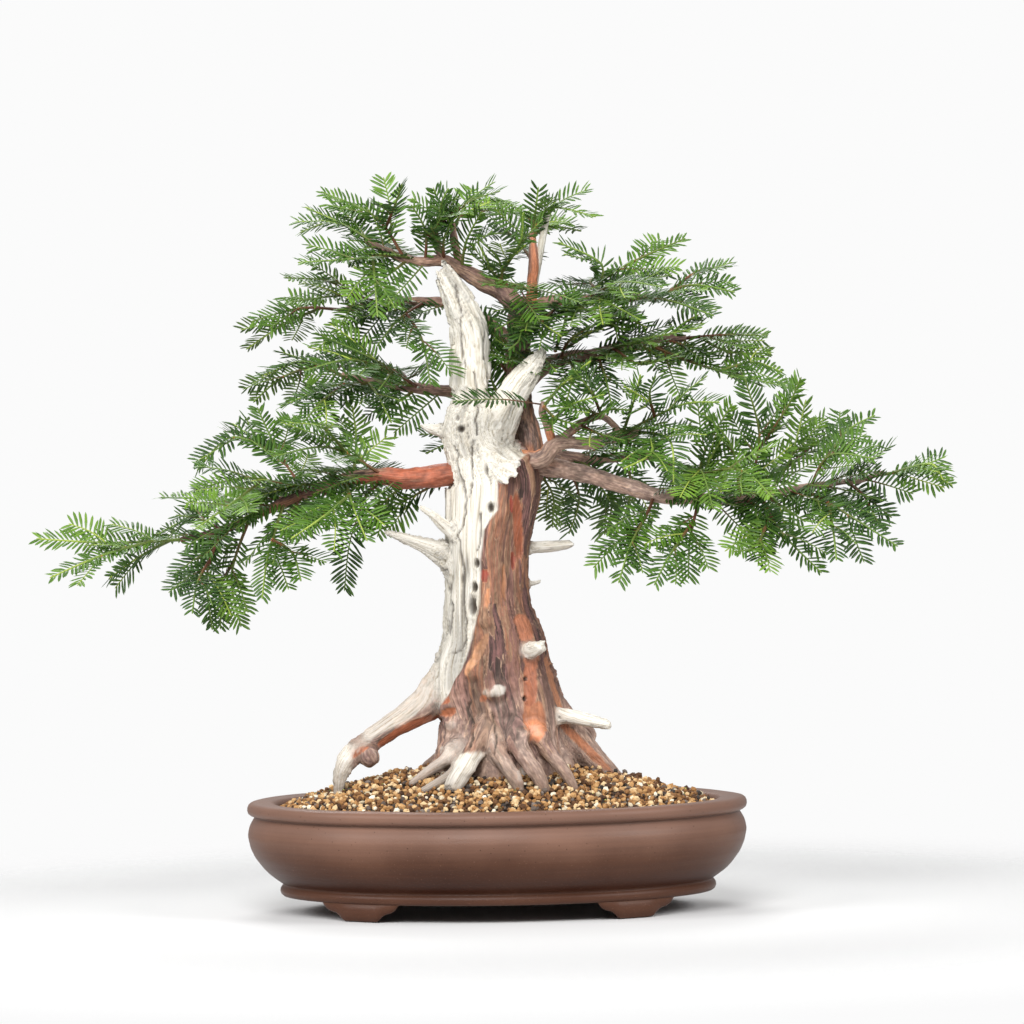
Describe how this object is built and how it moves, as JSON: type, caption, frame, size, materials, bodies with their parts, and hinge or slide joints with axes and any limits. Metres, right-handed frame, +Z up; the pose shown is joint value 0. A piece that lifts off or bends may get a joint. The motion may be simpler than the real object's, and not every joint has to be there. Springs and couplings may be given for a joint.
{
  "type": "english yew bonsai",
  "caption": "Bonsai yew with a pale deadwood spar, ribbed reddish trunk and flat needled sprays, standing in an oval unglazed pot.",
  "frame": {"origin": "under the middle of the pot, on the surface that its feet stand on", "axes": "+Z up, +X to the right as seen from the front, where the deadwood shows; the front looks along -Y"},
  "size_m": [0.7361, 0.3261, 0.59],
  "materials": {
    "stoneware": "unglazed, satin",
    "plastic_mesh": "matte",
    "grit": "rough",
    "yew_wood": "bark and bleached deadwood",
    "foliage": "waxy needles"
  },
  "bodies": {
    "root": {"pot": "stoneware", "drain_mesh_left": "plastic_mesh", "drain_mesh_right": "plastic_mesh", "soil": "grit", "trunk": "yew_wood", "low_left_tip": "foliage", "low_left_hang_a": "foliage", "low_left_hang_b": "foliage", "low_left_hang_c": "foliage", "low_left_back_tip": "foliage", "low_left_shoulder": "foliage", "low_left_single": "foliage", "low_left_bright": "foliage", "low_left_upright": "foliage", "low_left_dark": "foliage", "low_left_front": "foliage", "low_left_back_a": "foliage", "low_left_back_b": "foliage", "mid_left_tip": "foliage", "mid_left_low": "foliage", "mid_left_front": "foliage", "mid_left_back": "foliage", "upper_left_tip": "foliage", "upper_left_front": "foliage", "upper_left_inner": "foliage", "upper_left_back": "foliage", "crown_left_tip": "foliage", "crown_left_up": "foliage", "crown_left_low": "foliage", "crown_left_back": "foliage", "crown_top_a": "foliage", "crown_top_b": "foliage", "crown_front": "foliage", "crown_right": "foliage", "crown_back": "foliage", "upper_right_tip": "foliage", "upper_right_up": "foliage", "upper_right_front": "foliage", "upper_right_mid": "foliage", "upper_right_back": "foliage", "mid_right_tip": "foliage", "mid_right_front": "foliage", "mid_right_low": "foliage", "mid_right_back": "foliage", "mid_right_face": "foliage", "front_sprig": "foliage", "low_right_tip": "foliage", "low_right_top": "foliage", "low_right_upright": "foliage", "low_right_fan": "foliage", "low_right_drop_a": "foliage", "low_right_drop_b": "foliage", "low_right_hang_a": "foliage", "low_right_hang_b": "foliage", "low_right_front_a": "foliage", "low_right_front_b": "foliage", "low_right_inner": "foliage", "low_right_back_a": "foliage", "low_right_back_b": "foliage", "low_back": "foliage"}
  },
  "joints": []
}
